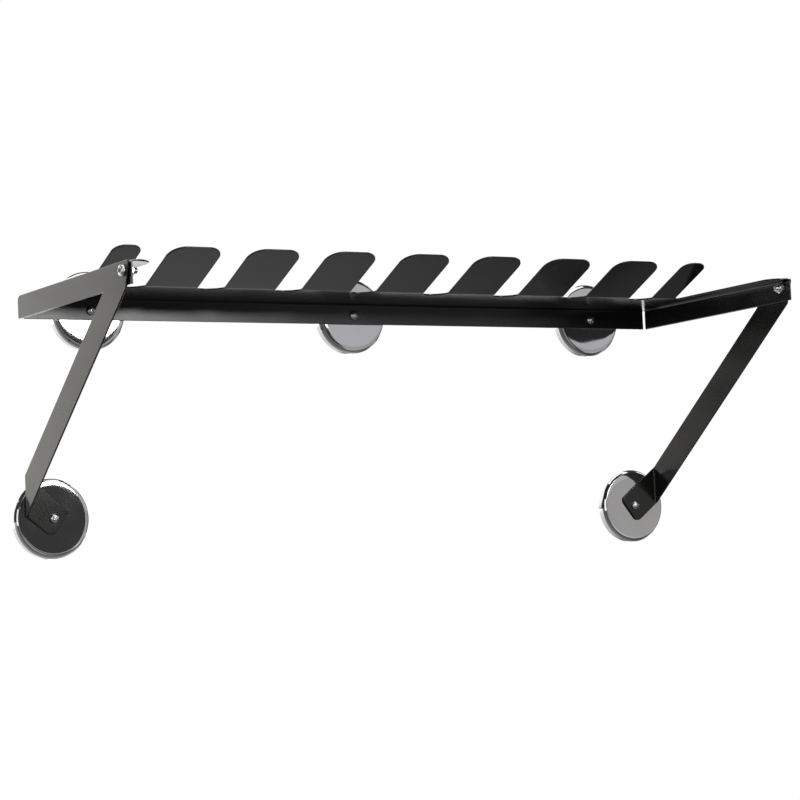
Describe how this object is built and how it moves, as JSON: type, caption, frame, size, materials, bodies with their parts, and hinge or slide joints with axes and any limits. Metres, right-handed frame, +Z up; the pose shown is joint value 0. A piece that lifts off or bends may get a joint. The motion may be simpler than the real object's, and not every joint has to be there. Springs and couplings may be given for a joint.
{
  "type": "magnetic slotted wall rack",
  "caption": "Black sheet-steel wall rack: a slotted shelf with upturned fingers between two arms, slanting side brackets and round cup magnets.",
  "frame": {"origin": "in the wall plane, at the middle of the rail's length, level with the rail's top face", "axes": "+X along the rail to the right as seen from the room, +Y into the wall, +Z up"},
  "size_m": [0.6504, 0.231, 0.2422],
  "materials": {
    "black_paint": "glossy black powder coat",
    "chrome_cup": "polished",
    "zinc_hardware": "bright zinc plate",
    "ferrite": "matt sintered"
  },
  "bodies": {
    "rail": {"slotted_rail": "black_paint", "left_pivot_bolt": "zinc_hardware", "right_pivot_bolt": "zinc_hardware", "left_pivot_lock_nut": "zinc_hardware", "right_pivot_lock_nut": "zinc_hardware", "bar_left_magnet_cup": "chrome_cup", "bar_left_magnet_ferrite": "ferrite", "bar_left_magnet_screw": "zinc_hardware", "bar_left_magnet_nut": "zinc_hardware", "bar_centre_magnet_cup": "chrome_cup", "bar_centre_magnet_ferrite": "ferrite", "bar_centre_magnet_screw": "zinc_hardware", "bar_centre_magnet_nut": "zinc_hardware", "bar_right_magnet_cup": "chrome_cup", "bar_right_magnet_ferrite": "ferrite", "bar_right_magnet_screw": "zinc_hardware", "bar_right_magnet_nut": "zinc_hardware"},
    "left_bracket": {"left_side_bracket": "black_paint", "foot_left_magnet_cup": "chrome_cup", "foot_left_magnet_ferrite": "ferrite", "foot_left_magnet_screw": "zinc_hardware", "foot_left_magnet_nut": "zinc_hardware"},
    "right_bracket": {"right_side_bracket": "black_paint", "foot_right_magnet_cup": "chrome_cup", "foot_right_magnet_ferrite": "ferrite", "foot_right_magnet_screw": "zinc_hardware", "foot_right_magnet_nut": "zinc_hardware"}
  },
  "joints": [
    {"name": "left_bracket_pivot", "type": "hinge", "parent": "rail", "child": "left_bracket", "pos_m": [-0.316, -0.2205, -0.0075], "axis": [1, 0, 0], "range_deg": [-140, 40]},
    {"name": "right_bracket_pivot", "type": "hinge", "parent": "rail", "child": "right_bracket", "pos_m": [0.316, -0.2205, -0.0075], "axis": [1, 0, 0], "range_deg": [-140, 40]}
  ]
}
